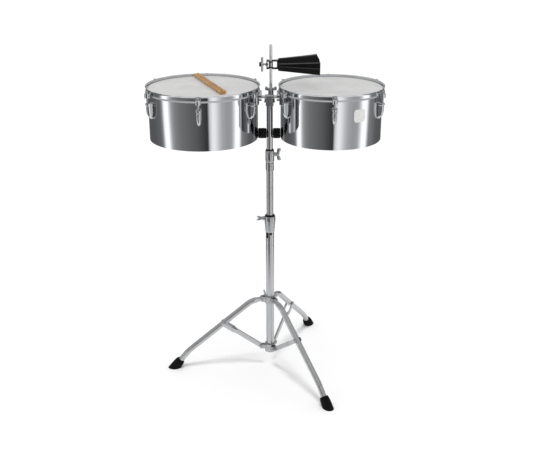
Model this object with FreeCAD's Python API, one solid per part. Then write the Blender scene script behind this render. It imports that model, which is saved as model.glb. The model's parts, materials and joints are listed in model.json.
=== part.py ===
import FreeCAD, Part
import math
import os

# A pair of timbales on a folding tripod stand, with a cowbell and two sticks. Millimetres, +Z up.
# The origin is on the floor under the axis of the stand. +X points to the smaller drum, -Y to the player.
# Heights in this file are counted from a datum below the floor; save() brings the floor to zero.

Vector = FreeCAD.Vector

# ---- driving dimensions ----
FLOOR = 13.0  # height of the floor above the datum
TUBE_WALL = 1.4
RUN = 0.05  # radial clearance of a shaft that turns or slides in a hole
GAP = 0.3  # air between faces of pieces that move past each other

# drums: centre along X, shell radius, side of the stand (the bracket points to the stand)
DRUMS = {"left": (-214.6, 176.5, 1), "right": (198.7, 163.6, -1)}
SHELL_BOTTOM = 865.0
HEAD_TOP = 1030.0
COLLAR_BOTTOM = 1021.0  # lower edge of the film, tucked in the flesh hoop
RIM_TOP = 1038.0
HOOP_BOTTOM = 1017.8
HOOP_LIP = 8.1  # how far the lips of the hoop stand outside the shell
TUNING_TRAVEL = 3.0
SHELL_WALL = 1.2
FILM = 0.4
LUG_COUNT = 6
ROD_STAND_OFF = 15.5  # tension rod axis outside the shell
TENSION_ROD_R = 3.0
TENSION_ROD_BOTTOM = 970.0
LUG_TOP = 998.0
LUG_LENGTH = 51.0
LUG_WIDTH = 17.0
LUG_DEPTH = 21.0
CLAW_TOP = 1029.0
BRACKET_SPAN = (976.0, 1012.0)
BRACKET_EAR = (16.5, 1004.0)  # radius and height of the round ear
BADGE_SPAN = (950.0, 990.0)

# stand tubes: outer radius, bottom, top
LOWER_R = 14.3
LOWER_SPAN = (73.0, 541.0)
MID_R = 11.4
MID_SPAN = (385.0, 790.0)
POST_R = 10.1
POST_SPAN = (560.0, 984.0)

# tripod, in the upright plane of one leg: (distance from the axis, height)
LEG_AZIMUTHS = {"left": 184.0, "front": 304.0, "back": 64.0}
LEG_TOP_PIVOT = (27.0, 277.0)
LEG_KNEE = (67.0, 268.0)
LEG_BEND = (294.5, 77.0)
LEG_END = (331.5, 31.0)
BRACE_AT_LEG = (166.0, 184.88)
BRACE_AT_SPIDER = (31.0, 88.0)
LEG_R = 9.8
PIN_R = 2.5
EYE_WIDTH = 12.0
EYE_R = 7.0
LEG_BEND_R = 55.0
NECK_LENGTH = 12.0  # from the eye of a leg to the end of its tube
FOOT_R = 19.0
FOOT_LENGTH = 43.0
COLLAR_R = 19.5
COLLAR_SPAN = (262.0, 288.0)
COLLAR_CHEEK = 4.2
COLLAR_EAR_R = 8.4
COLLAR_BOLT_Z = 275.0
COLLAR_BOLT_SEAT = 27.2  # distance of the bolt's seat from the axis
COLLAR_BOLT_AZIMUTH = 125.0
SPIDER_R = 19.0
SPIDER_SPAN = (70.0, 100.0)
BRACE_THICKNESS = 6.4
BRACE_HEIGHT = 16.0
FORK_WALL = 3.0

# clamps
LOWER_CLAMP_SPAN = (531.0, 588.0)
LOWER_BOLT_Z = 579.0
LOWER_BOLT_SEAT = 25.2
UPPER_CLAMP_SPAN = (780.0, 820.0)
UPPER_BOLT_Z = 805.0
UPPER_BOLT_SEAT = 22.2
LOCK_SPAN = (751.0, 776.0)
BOLT_R = 3.0
WING_SPAN = 20.0

# head of the stand
CROSS_ROD_R = 5.0
CROSS_ROD_Y = -12.0
CROSS_ROD_Z = 1000.0
BUMPER_Z = 877.0
BUMPER_R = 17.0
BUMPER_PIN_R = 4.0
BUMPER_PIN_HALF = 32.0
HEAD_BLOCK = ((-12.5, -21.0, 971.0), (12.5, 12.5, 1003.0))
COLLET_TOP = 1016.0

# cowbell and its rod
BELL_ROD_X = 4.0
BELL_ROD_R = 4.75
BELL_ROD_SPAN = (870.0, 1164.0)
BELL_ROD_GROOVE = (1121.0, 1123.0)
BELL_Z = 1102.0
BELL_SPAN = (27.0, 160.5)
BELL_WALL = 1.6
BELL_NARROW = (19.5, 15.0, 4.0)  # half height, half depth, half height of the middle facet
BELL_MOUTH = (32.5, 26.0, 10.0)
MOUTH_SLANT = (14.0, 27.0)  # the top of the mouth leans back: run, rise
SLEEVE_R = 6.6
SLEEVE_HALF = 12.0
STRAP_WALL = 3.6
STRAP_WIDTH = 17.8
BELL_BOLT_SEAT = 10.2
HANDLE_SPAN = 48.0

STICK_R = 6.0
STICK_BUTT = (-142.0, -118.0)  # near end of the pair, in plan
STICK_TIP = (-249.0, 165.0)  # far end of the pair, in plan

Z_AXIS = Vector(0, 0, 1)


# ---- shapes that repeat ----
def save(name, shape):
    """Write one sub-part with the floor at zero."""
    shape.translated(Vector(0, 0, -FLOOR)).exportStep("parts/" + name + ".step")


def rod(radius, start, end):
    """Solid cylinder between two points."""
    start = Vector(*start)
    run = Vector(*end) - start
    return Part.makeCylinder(radius, run.Length, start, run)


def pipe(outer, inner, start, end):
    """Hollow cylinder between two points."""
    return rod(outer, start, end).cut(rod(inner, start, end))


def upright(radius, low, high, x=0.0, y=0.0):
    """Solid upright cylinder between two heights."""
    return rod(radius, (x, y, low), (x, y, high))


def block(low, high):
    """Box between two corners."""
    size = Vector(*high) - Vector(*low)
    return Part.makeBox(size.x, size.y, size.z, Vector(*low))


def lathe(profile, x=0.0, y=0.0):
    """Solid turned about an upright axis from (radius, height) points."""
    points = [Vector(x + r, y, z) for r, z in profile]
    face = Part.Face(Part.makePolygon(points + points[:1]))
    return face.revolve(Vector(x, y, 0), Z_AXIS, 360)


def turned(shape, degrees, centre=(0.0, 0.0, 0.0)):
    """Copy turned about an upright axis."""
    copy = shape.copy()
    copy.rotate(Vector(*centre), Z_AXIS, degrees)
    return copy


def placed(shape, origin, along, across):
    """Copy whose own +Z points along a direction and whose +X points as nearly as it can across."""
    copy = shape.copy()
    turn = FreeCAD.Rotation(Vector(*across), Vector(), Vector(*along), "ZXY")
    copy.Placement = FreeCAD.Placement(Vector(*origin), turn)
    return copy


def plate(points, thickness):
    """Flat plate in the XZ plane from (x, z) points, centred on Y = 0."""
    corners = [Vector(x, -thickness / 2, z) for x, z in points]
    face = Part.Face(Part.makePolygon(corners + corners[:1]))
    return face.extrude(Vector(0, thickness, 0))


def joined(shapes):
    """One solid from several that meet."""
    return shapes[0].multiFuse(shapes[1:]).removeSplitter()


def group(shapes):
    """Several separate solids in one node."""
    return Part.makeCompound(shapes)


def wing_bolt(shank, span, hub_r=6.0, hub_height=9.0, bore=0.0, neck=0.0):
    """Wing bolt, or a wing nut where it has a bore, along +Z with its seat at the origin."""
    wing = [(3, 1), (span * 0.5, 2), (span - 3, 3), (span, 8), (span - 0.5, 14), (span - 4, 17)]
    wing += [(span * 0.55, 13), (3, 9)]
    wing = [(x, z + neck) for x, z in wing]
    left = [(-x, z) for x, z in reversed(wing)]
    body = joined([upright(hub_r, neck, neck + hub_height), plate(wing, 3.6), plate(left, 3.6)])
    if neck:
        body = joined([body, upright(hub_r - 1.5, 0, neck + 1)])
    if shank:
        body = joined([body, upright(BOLT_R, -shank, 1.0)])
    if bore:
        body = body.cut(upright(bore, -1, hub_height + 20))
    return body


# ---- tripod ----
def ring_with_ears(span, outer, pivot, cheek, ear_r):
    """Ring round the lower tube with a pair of pinned ears for each leg or brace."""
    pieces = [upright(outer, *span)]
    half_gap = EYE_WIDTH / 2 + GAP
    pins = []
    holes = []
    for azimuth in LEG_AZIMUTHS.values():
        for side in (-1, 1):
            ys = sorted((side * half_gap, side * (half_gap + cheek)))
            ear = rod(ear_r, (pivot[0], ys[0], pivot[1]), (pivot[0], ys[1], pivot[1]))
            arm = block((LOWER_R + 1, ys[0], pivot[1] - ear_r), (pivot[0], ys[1], pivot[1] + ear_r))
            pieces += [turned(ear, azimuth), turned(arm, azimuth)]
        reach = half_gap + cheek
        hole = rod(PIN_R, (pivot[0], -reach - 1, pivot[1]), (pivot[0], reach + 1, pivot[1]))
        head = rod(PIN_R + 1.6, (pivot[0], reach, pivot[1]), (pivot[0], reach + 1.8, pivot[1]))
        tail = rod(PIN_R + 1.2, (pivot[0], -reach - 1.4, pivot[1]), (pivot[0], -reach, pivot[1]))
        holes.append(turned(hole, azimuth))
        pins.append(turned(joined([hole, head, tail]), azimuth))
    ring = joined(pieces)
    for hole in holes:
        ring = ring.cut(hole)
    return ring, group(pins)


def bottom_spider():
    """Closed ring at the foot of the lower tube that carries the braces."""
    ring, pins = ring_with_ears(SPIDER_SPAN, SPIDER_R, BRACE_AT_SPIDER, FORK_WALL, EYE_R)
    save("bottom_spider", ring.cut(upright(LOWER_R, LOWER_SPAN[0], SPIDER_SPAN[1] + 1)))
    save("brace_pins", pins)


def leg_collar():
    """Sliding collar that carries the legs, with a boss for its wing bolt."""
    ring, pins = ring_with_ears(COLLAR_SPAN, COLLAR_R, LEG_TOP_PIVOT, COLLAR_CHEEK, COLLAR_EAR_R)
    low, high = COLLAR_SPAN
    boss = rod(7.5, (LOWER_R + 1, 0, COLLAR_BOLT_Z), (COLLAR_BOLT_SEAT - 0.2, 0, COLLAR_BOLT_Z))
    ring = joined([ring, turned(boss, COLLAR_BOLT_AZIMUTH)])
    ring = ring.cut(upright(LOWER_R + RUN, low - 5, high + 5))
    screw_hole = rod(BOLT_R + RUN, (LOWER_R - 1, 0, COLLAR_BOLT_Z), (COLLAR_BOLT_SEAT + 1, 0, COLLAR_BOLT_Z))
    save("leg_collar", ring.cut(turned(screw_hole, COLLAR_BOLT_AZIMUTH)))
    save("leg_pins", pins)
    angle = math.radians(COLLAR_BOLT_AZIMUTH)
    outward = (math.cos(angle), math.sin(angle), 0)
    seat = (COLLAR_BOLT_SEAT * outward[0], COLLAR_BOLT_SEAT * outward[1], COLLAR_BOLT_Z)
    bolt = wing_bolt(COLLAR_BOLT_SEAT - LOWER_R - GAP, WING_SPAN)
    save("collar_wing_bolt", placed(bolt, seat, outward, (0, 0, 1)))


def path_pipe(points, radius, bend_radius):
    """Round bar along straight runs joined by tangent arcs, in the XZ plane."""
    spots = [Vector(x, 0, z) for x, z in points]
    edges = []
    at = spots[0]
    for before, corner, after in zip(spots, spots[1:], spots[2:]):
        back = (before - corner).normalize()
        ahead = (after - corner).normalize()
        turn = math.pi - back.getAngle(ahead)
        cut = bend_radius * math.tan(turn / 2)
        enter = corner + back * cut
        leave = corner + ahead * cut
        middle = corner + (back + ahead).normalize() * (bend_radius / math.cos(turn / 2) - bend_radius)
        edges += [Part.LineSegment(at, enter).toShape(), Part.Arc(enter, middle, leave).toShape()]
        at = leave
    edges.append(Part.LineSegment(at, spots[-1]).toShape())
    route = Part.Wire(edges)
    first = spots[1] - spots[0]
    profile = Part.Wire(Part.makeCircle(radius, spots[0], first))
    return route.makePipeShell([profile], True, False)


def leg(azimuth):
    """Bent leg tube with a flat eye at its top."""
    reach = Vector(LEG_KNEE[0] - LEG_TOP_PIVOT[0], 0, LEG_KNEE[1] - LEG_TOP_PIVOT[1]).normalize()
    tube_start = (LEG_TOP_PIVOT[0] + reach.x * NECK_LENGTH, LEG_TOP_PIVOT[1] + reach.z * NECK_LENGTH)
    route = [tube_start, LEG_KNEE, LEG_BEND, LEG_END]
    tube = path_pipe(route, LEG_R, LEG_BEND_R).cut(path_pipe(route, LEG_R - TUBE_WALL, LEG_BEND_R))
    half = EYE_WIDTH / 2
    top = (LEG_TOP_PIVOT[0], -half, LEG_TOP_PIVOT[1])
    eye = rod(EYE_R - 0.2, top, (top[0], half, top[2]))
    neck = block((0, -half, 2 - EYE_R), (NECK_LENGTH + 8, half, EYE_R - 2))
    neck = placed(neck, (top[0], 0, top[2]), (-reach.z, 0, reach.x), (reach.x, 0, reach.z))
    shape = joined([tube, eye, neck])
    shape = shape.cut(rod(PIN_R + RUN, (top[0], -half - 1, top[2]), (top[0], half + 1, top[2])))
    return turned(shape, azimuth)


def foot(azimuth):
    """Rubber foot on the end of a leg, cut flat on the floor."""
    run = Vector(LEG_END[0] - LEG_BEND[0], 0, LEG_END[1] - LEG_BEND[1]).normalize()
    on_floor = LEG_END[0] - run.x / run.z * (LEG_END[1] - FLOOR)
    profile = [(0, -20), (FOOT_R, -20), (FOOT_R, 6), (FOOT_R - 1.5, 10), (FOOT_R - 3.4, 14)]
    profile += [(FOOT_R - 3.8, 18), (FOOT_R - 4.8, FOOT_LENGTH - 2)]
    profile += [(FOOT_R - 6.4, FOOT_LENGTH), (0, FOOT_LENGTH)]
    body = placed(lathe(profile), (on_floor, 0, FLOOR), (-run.x, 0, -run.z), (run.z, 0, -run.x))
    body = body.cut(block((on_floor - 90, -60, FLOOR - 60), (on_floor + 60, 60, FLOOR)))
    socket = rod(LEG_R, (LEG_END[0] - run.x * 60, 0, LEG_END[1] - run.z * 60), (LEG_END[0], 0, LEG_END[1]))
    return turned(body.cut(socket), azimuth)


def brace(azimuth):
    """Upright flat bar with an eye at the spider and a fork whose riveted cheeks straddle the leg."""
    run = Vector(BRACE_AT_LEG[0] - BRACE_AT_SPIDER[0], 0, BRACE_AT_LEG[1] - BRACE_AT_SPIDER[1])
    length = run.Length
    half = EYE_WIDTH / 2
    thick = BRACE_THICKNESS / 2
    tall = BRACE_HEIGHT / 2
    inner = LEG_R + 0.6
    outer = inner + FORK_WALL
    outside = [(length - 62, thick), (length - 54, thick + 2), (length - 45, outer - 1), (length - 38, outer)]
    inside = [(length + 1, inner), (length - 36, inner), (length - 41, inner - 2)]
    half_fork = outside + [(length + 1, outer)] + inside
    points = half_fork + [(length - 50, 0)] + [(x, -y) for x, y in reversed(half_fork)]
    corners = [Vector(x, y, 1 - tall) for x, y in points]
    fork = Part.Face(Part.makePolygon(corners + corners[:1])).extrude(Vector(0, 0, 2 * tall - 2))
    bar = block((0, -thick, -tall), (length - 52, thick, tall))
    pieces = [fork, bar, rod(EYE_R, (0, -half, 0), (0, half, 0))]
    for side in (-1, 1):
        pieces.append(rod(tall, (length, side * inner, 0), (length, side * outer, 0)))
        pieces.append(rod(4.2, (length, side * (outer - 1), 0), (length, side * (outer + 2), 0)))
    shape = joined(pieces).cut(rod(PIN_R + RUN, (0, -half - 1, 0), (0, half + 1, 0)))
    start = (BRACE_AT_SPIDER[0], 0, BRACE_AT_SPIDER[1])
    shape = placed(shape, start, (-run.z, 0, run.x), (run.x, 0, run.z))
    return turned(shape, azimuth)


# ---- height stages ----
def lower_clamp():
    """Clamp casting on the lower tube with a nylon bushing for the mid tube."""
    low, high = LOWER_CLAMP_SPAN
    seat = LOWER_BOLT_SEAT
    profile = [(0, low), (15.6, low), (16.5, low + 6), (18.8, high - 17), (18.8, high - 2)]
    profile += [(17.8, high), (0, high)]
    body = joined([lathe(profile), rod(7.5, (-14, 0, LOWER_BOLT_Z), (0.2 - seat, 0, LOWER_BOLT_Z))])
    screw_hole = rod(BOLT_R + RUN, (1 - LOWER_R, 0, LOWER_BOLT_Z), (-1 - seat, 0, LOWER_BOLT_Z))
    save("lower_clamp", body.cut(upright(LOWER_R, low - 5, high + 5)).cut(screw_hole))
    flange = lathe([(0, high), (16.6, high), (16.6, high + 3), (15.6, high + 4), (0, high + 4)])
    bushing = joined([upright(LOWER_R, LOWER_SPAN[1], high), flange])
    save("lower_bushing", bushing.cut(upright(MID_R + RUN, low - 5, high + 10)))
    bolt = wing_bolt(seat - LOWER_R - GAP, WING_SPAN, neck=5.0)
    save("lower_wing_bolt", placed(bolt, (-seat, 0, LOWER_BOLT_Z), (-1, 0, 0), (0, 1, 0)))


def upper_clamp():
    """Split clamp casting on top of the mid tube; its bushing turns with the post."""
    low, high = UPPER_CLAMP_SPAN
    seat = UPPER_BOLT_SEAT
    profile = [(0, low), (13.4, low), (14.5, low + 5), (14.5, high - 2), (13.5, high), (0, high)]
    body = joined([lathe(profile), rod(7.0, (11, 0, UPPER_BOLT_Z), (seat - 0.2, 0, UPPER_BOLT_Z))])
    body = body.cut(upright(MID_R, low - 5, high + 5))
    body = body.cut(rod(BOLT_R + RUN, (MID_R - 1, 0, UPPER_BOLT_Z), (seat + 1, 0, UPPER_BOLT_Z)))
    save("upper_clamp", body.cut(block((-1.1, -20, low + 10), (1.1, -8, high + 1))))
    rim = high + 3.4
    flange = lathe([(0, high + GAP), (12.8, high + GAP), (12.8, rim - 1), (12, rim), (0, rim)])
    bushing = joined([upright(MID_R - RUN, MID_SPAN[1] + GAP, high + 1), flange])
    save("upper_bushing", bushing.cut(upright(POST_R + RUN, low, high + 10)))
    bolt = wing_bolt(seat - MID_R - GAP, WING_SPAN + 1)
    save("upper_wing_bolt", placed(bolt, (seat, 0, UPPER_BOLT_Z), (1, 0, 0), (0, 0, 1)))


def memory_lock():
    """Stop collar on the mid tube with its key screw at the back."""
    low, high = LOCK_SPAN
    middle = (low + high) / 2
    ears = block((-4, 10, low + 3), (4, 20, high - 3))
    body = joined([upright(13.6, low, high), ears])
    shank = rod(2.5, (-4, 16, middle), (5, 16, middle))
    screw = joined([shank, rod(4.0, (4, 16, middle), (7.5, 16, middle))])
    save("memory_lock", body.cut(upright(MID_R + RUN, low - 5, high + 5)).cut(screw))
    save("memory_lock_screw", screw)


# ---- head of the stand ----
def post():
    """Upper tube with the padded bumper pin that the shells lean on."""
    pin = rod(BUMPER_PIN_R, (-BUMPER_PIN_HALF, 0, BUMPER_Z), (BUMPER_PIN_HALF, 0, BUMPER_Z))
    tube = pipe(POST_R, POST_R - TUBE_WALL + 0.2, (0, 0, POST_SPAN[0]), (0, 0, POST_SPAN[1]))
    save("post_tube", tube.cut(pin))
    save("bumper_pin", pin.cut(upright(BELL_ROD_R + GAP, BUMPER_Z - 10, BUMPER_Z + 10, BELL_ROD_X)))
    sleeves = []
    for name, (centre, radius, side) in DRUMS.items():
        end = abs(centre) - radius - GAP
        near = POST_R + GAP
        profile = [(0, near), (BUMPER_R - 3, near), (BUMPER_R, near + 3), (BUMPER_R, end - 3)]
        profile += [(BUMPER_R - 3, end), (0, end)]
        sleeve = placed(lathe(profile), (0, 0, BUMPER_Z), (-side, 0, 0), (0, 1, 0))
        sleeves.append(sleeve.cut(pin))
    save("bumper_sleeves", group(sleeves))


def post_head():
    """T casting on the post, with a collet for the cowbell rod and a cross rod for the drums."""
    ends = [centre + side * (radius + 2) for centre, radius, side in DRUMS.values()]
    cross = rod(CROSS_ROD_R, (min(ends), CROSS_ROD_Y, CROSS_ROD_Z), (max(ends), CROSS_ROD_Y, CROSS_ROD_Z))
    save("cross_rod", cross)
    base = HEAD_BLOCK[1][2] - 3
    outline = [(0, base), (10, base), (10, base + 4), (8.5, base + 7), (8.5, COLLET_TOP), (0, COLLET_TOP)]
    collet = lathe(outline, BELL_ROD_X)
    sleeve = rod(8.0, (-15, CROSS_ROD_Y, CROSS_ROD_Z), (15, CROSS_ROD_Y, CROSS_ROD_Z))
    core = block(*HEAD_BLOCK)
    upright_edges = [e for e in core.Edges if abs(e.tangentAt(e.FirstParameter).z) > 0.9]
    body = joined([core.makeFillet(5, upright_edges), sleeve, collet])
    body = body.cut(upright(POST_R, 970, POST_SPAN[1])).cut(upright(BELL_ROD_R + RUN, 980, 1020, BELL_ROD_X))
    bolts = []
    for x in (-14, 14):
        seat = CROSS_ROD_Z - 14
        shank = upright(2.4, seat, seat + 10, x, CROSS_ROD_Y)
        bolts.append(joined([shank, upright(3.6, seat - 4, seat, x, CROSS_ROD_Y)]).cut(cross))
    body = body.cut(cross)
    for bolt in bolts:
        body = body.cut(bolt)
    save("post_head", body)
    save("post_head_bolts", group(bolts))
    nut = wing_bolt(0, WING_SPAN - 1, hub_r=7.5, bore=BELL_ROD_R + GAP)
    save("rod_wing_nut", placed(nut, (BELL_ROD_X, 0, COLLET_TOP + 0.2), (0, 0, 1), (1, 0, 0)))


# ---- cowbell ----
def octagon(x, half_height, half_depth, mid_height):
    """Eight-sided section across X: flat top and bottom, upright middle facets."""
    flat = half_depth * 0.55
    front = [(flat, half_height), (half_depth, mid_height), (half_depth, -mid_height), (flat, -half_height)]
    points = front + [(-y, z) for y, z in reversed(front)]
    corners = [Vector(x, y, BELL_Z + z) for y, z in points]
    return Part.makePolygon(corners + corners[:1])


def cowbell():
    """Folded sheet-steel bell, closed at its narrow end and open at its mouth."""
    near, mouth = BELL_SPAN
    height, depth, facet = BELL_NARROW
    outer_near = octagon(near, height, depth, facet)
    inner_near = octagon(near + BELL_WALL, height - BELL_WALL, depth - BELL_WALL, facet - GAP)
    height, depth, facet = BELL_MOUTH
    outer_mouth = octagon(mouth, height, depth, facet)
    inner_mouth = octagon(mouth + GAP, height - BELL_WALL, depth - BELL_WALL, facet - 2 * GAP)
    outside = Part.makeLoft([outer_near, outer_mouth], True, True)
    inside = Part.makeLoft([inner_near, inner_mouth], True, True)
    run, rise = MOUTH_SLANT
    start = BELL_Z + facet
    slant = plate([(mouth + 1, start), (mouth + 1, start + rise), (mouth + 1 - run, start + rise)], 3 * depth)
    save("cowbell", outside.cut(inside).cut(slant))


def bell_mount():
    """Rod, sleeve, strap and wing bolt that hold the bell."""
    low, high = BELL_ROD_SPAN
    groove_low, groove_high = BELL_ROD_GROOVE
    groove_r = BELL_ROD_R - 0.6
    profile = [(0, low), (BELL_ROD_R, low), (BELL_ROD_R, groove_low), (groove_r, groove_low)]
    profile += [(groove_r, groove_high), (BELL_ROD_R, groove_high), (BELL_ROD_R, high - 1.5)]
    profile += [(BELL_ROD_R - 1.5, high), (0, high)]
    save("bell_rod", lathe(profile, BELL_ROD_X))
    sleeve = upright(SLEEVE_R, BELL_Z - SLEEVE_HALF, BELL_Z + SLEEVE_HALF, BELL_ROD_X)
    save("bell_sleeve", sleeve.cut(upright(BELL_ROD_R + RUN, *BELL_ROD_SPAN, BELL_ROD_X)))
    side = [(-10, 14), (-4, 14), (BELL_ROD_X, 9), (11, 14), (BELL_SPAN[0], 14)]
    edge = [(-10 + STRAP_WALL, 14 - STRAP_WALL), (-5, 14 - STRAP_WALL), (BELL_ROD_X, 9 - STRAP_WALL)]
    edge += [(12, 14 - STRAP_WALL), (BELL_SPAN[0] - STRAP_WALL, 14 - STRAP_WALL)]
    outline = [(x, BELL_Z + z) for x, z in side] + [(x, BELL_Z - z) for x, z in reversed(side)]
    hollow = [(x, BELL_Z + z) for x, z in edge] + [(x, BELL_Z - z) for x, z in reversed(edge)]
    strap = plate(outline, STRAP_WIDTH).cut(plate(hollow, STRAP_WIDTH + 2))
    strap = strap.cut(upright(SLEEVE_R + GAP, BELL_Z - 20, BELL_Z + 20, BELL_ROD_X))
    strap = strap.cut(rod(BOLT_R + RUN, (-11, 0, BELL_Z), (STRAP_WALL - 9, 0, BELL_Z)))
    save("bell_strap", strap)
    shank = upright(BOLT_R, SLEEVE_R + GAP - BELL_BOLT_SEAT - BELL_ROD_X, 1)
    neck = lathe([(0, 0), (5, 0), (5, 2), (3.6, 3), (3.6, 10), (0, 10)])
    bar = Part.makeBox(HANDLE_SPAN, 5.6, 8, Vector(-HANDLE_SPAN / 2, -2.8, 9.5))
    bar = bar.makeFillet(2.4, [e for e in bar.Edges if abs(e.tangentAt(e.FirstParameter).x) < 0.1])
    knob = lathe([(0, 17), (6.5, 17), (7.5, 18), (7.5, 22), (6.5, 23), (0, 23)])
    bolt = joined([shank, neck, bar, knob])
    save("bell_wing_bolt", placed(bolt, (-BELL_BOLT_SEAT, 0, BELL_Z), (-1, 0, 0), (0, 0, 1)))


# ---- drums ----
def around(shape, centre, azimuths):
    """Copies of a shape built at azimuth 0, turned about a drum's axis."""
    return [turned(shape, azimuth, (centre, 0, 0)) for azimuth in azimuths]


def lug_section(x, z, depth, half_width):
    """D-shaped section of a lug at one height: flat on the shell, round outside."""
    bulge = min(half_width, depth * 0.8)
    back, shoulder, nose = x - 2, x + depth - bulge, x + depth
    left = [Vector(back, -half_width, z), Vector(shoulder, -half_width, z)]
    right = [Vector(shoulder, half_width, z), Vector(back, half_width, z)]
    sides = [Part.LineSegment(left[0], left[1]), Part.Arc(left[1], Vector(nose, 0, z), right[0])]
    sides += [Part.LineSegment(right[0], right[1]), Part.LineSegment(right[1], left[0])]
    return Part.Wire([side.toShape() for side in sides])


def lug_screws_at(surface):
    """Two screws from inside the shell into one lug."""
    screws = []
    for z in (LUG_TOP - 9, LUG_TOP - 38):
        shank = rod(2.0, (surface - SHELL_WALL, 0, z), (surface + 4.5, 0, z))
        head = rod(4.0, (surface - SHELL_WALL - 2.4, 0, z), (surface - SHELL_WALL - 0.1, 0, z))
        screws.append(joined([shank, rod(2.0, (surface - SHELL_WALL - 1, 0, z), (surface, 0, z)), head]))
    return screws


def lug(centre, radius):
    """Tapered lug casting with a bore for the tension rod and a cavity for its swivel nut."""
    surface = centre + radius
    half = LUG_WIDTH / 2
    cap = (LUG_DEPTH + 1.5, half + 0.8)
    stations = [(0, *cap), (6, *cap), (7.5, LUG_DEPTH, half - 0.3), (24, LUG_DEPTH, half - 0.4)]
    stations += [(34, LUG_DEPTH * 0.92, half - 0.8), (42, LUG_DEPTH * 0.77, half - 1.9)]
    stations += [(47, LUG_DEPTH * 0.58, half - 3.4), (LUG_LENGTH, LUG_DEPTH * 0.34, half - 5.8)]
    wires = [lug_section(surface, LUG_TOP - down, depth, width) for down, depth, width in stations]
    body = Part.makeLoft(wires, True, True)
    axis = surface + ROD_STAND_OFF
    body = body.cut(upright(radius, LUG_TOP - 60, LUG_TOP + 5, centre))
    body = body.cut(upright(TENSION_ROD_R + RUN, TENSION_ROD_BOTTOM - 5, LUG_TOP + 1, axis))
    body = body.cut(upright(5.0, LUG_TOP - 26, LUG_TOP - 16, axis))
    for screw in lug_screws_at(surface):
        body = body.cut(screw)
    return body


def claw(centre, radius):
    """Hook that bears on the lower lip of the hoop and takes the head of the tension rod."""
    surface = centre + radius
    axis = surface + ROD_STAND_OFF
    outline = [(surface + 5, 1022.7), (surface + 8.5, 1022.7), (surface + 8.5, 1015), (axis + 8.5, 1015),
               (axis + 8.5, 1026), (axis + 6, CLAW_TOP), (surface + 5, CLAW_TOP)]
    plan = joined([upright(8.5, 1000, 1040, axis), block((surface, -8.5, 1000), (axis, 8.5, 1040))])
    body = plate(outline, 20).common(plan)
    body = body.cut(upright(radius + 5.65, 1000, 1040, centre))
    return body.cut(upright(TENSION_ROD_R, 1000, 1040, axis))


def tension_rod(centre, radius):
    """Rod with a washer and a square key head."""
    axis = centre + radius + ROD_STAND_OFF
    head = block((axis - 3.4, -3.4, CLAW_TOP + 1), (axis + 3.4, 3.4, CLAW_TOP + 8))
    shank = upright(TENSION_ROD_R, TENSION_ROD_BOTTOM, CLAW_TOP + 2, axis)
    washer = upright(6.2, CLAW_TOP, CLAW_TOP + 1.2, axis)
    return joined([shank, washer, head])


def counterhoop(centre, radius):
    """Steel hoop: flared top edge, upright wall, inner flange on the flesh hoop, flared lower lip."""
    flange = HOOP_BOTTOM + 8.2
    section = [(7.0, RIM_TOP), (HOOP_LIP, RIM_TOP - 0.6), (5.6, RIM_TOP - 4.2), (5.6, HOOP_BOTTOM + 4.7)]
    section += [(HOOP_LIP, HOOP_BOTTOM + 1), (7.2, HOOP_BOTTOM), (4.2, HOOP_BOTTOM + 4.2), (4.2, flange)]
    section += [(1.0, flange), (1.0, flange + 1.4), (4.2, flange + 1.4), (4.2, RIM_TOP - 3.8)]
    return lathe([(radius + dr, z) for dr, z in section], centre)


def bracket(centre, radius, side):
    """Casting on the side of the shell whose knuckle turns on the cross rod."""
    surface = centre + side * radius
    far = surface + side * 12.5
    hidden = surface - side * 8

    def span(start, end):
        return min(start, end), max(start, end)

    bottom, top = BRACKET_SPAN
    ear_r, ear_z = BRACKET_EAR
    low, high = span(hidden, surface + side * 4)
    base = block((low, -22, bottom), (high, 12, top))
    low, high = span(hidden, far)
    knuckle = rod(9.5, (low, CROSS_ROD_Y, CROSS_ROD_Z), (high, CROSS_ROD_Y, CROSS_ROD_Z))
    web = block((low, CROSS_ROD_Y - 6, bottom + 12), (high, CROSS_ROD_Y + 6, top - 2))
    low, high = span(surface + side * 3, far)
    ear = rod(ear_r, (low, CROSS_ROD_Y + 5, ear_z), (high, CROSS_ROD_Y + 5, ear_z))
    body = joined([base, knuckle, ear, web])
    body = body.cut(upright(radius, 940, 1040, centre))
    body = body.cut(upright(radius + HOOP_LIP + GAP, HOOP_BOTTOM - TUNING_TRAVEL - 1, RIM_TOP, centre))
    low, high = span(surface + side * 1.7, far + side)
    body = body.cut(rod(CROSS_ROD_R + RUN, (low, CROSS_ROD_Y, CROSS_ROD_Z), (high, CROSS_ROD_Y, CROSS_ROD_Z)))
    return body


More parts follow.
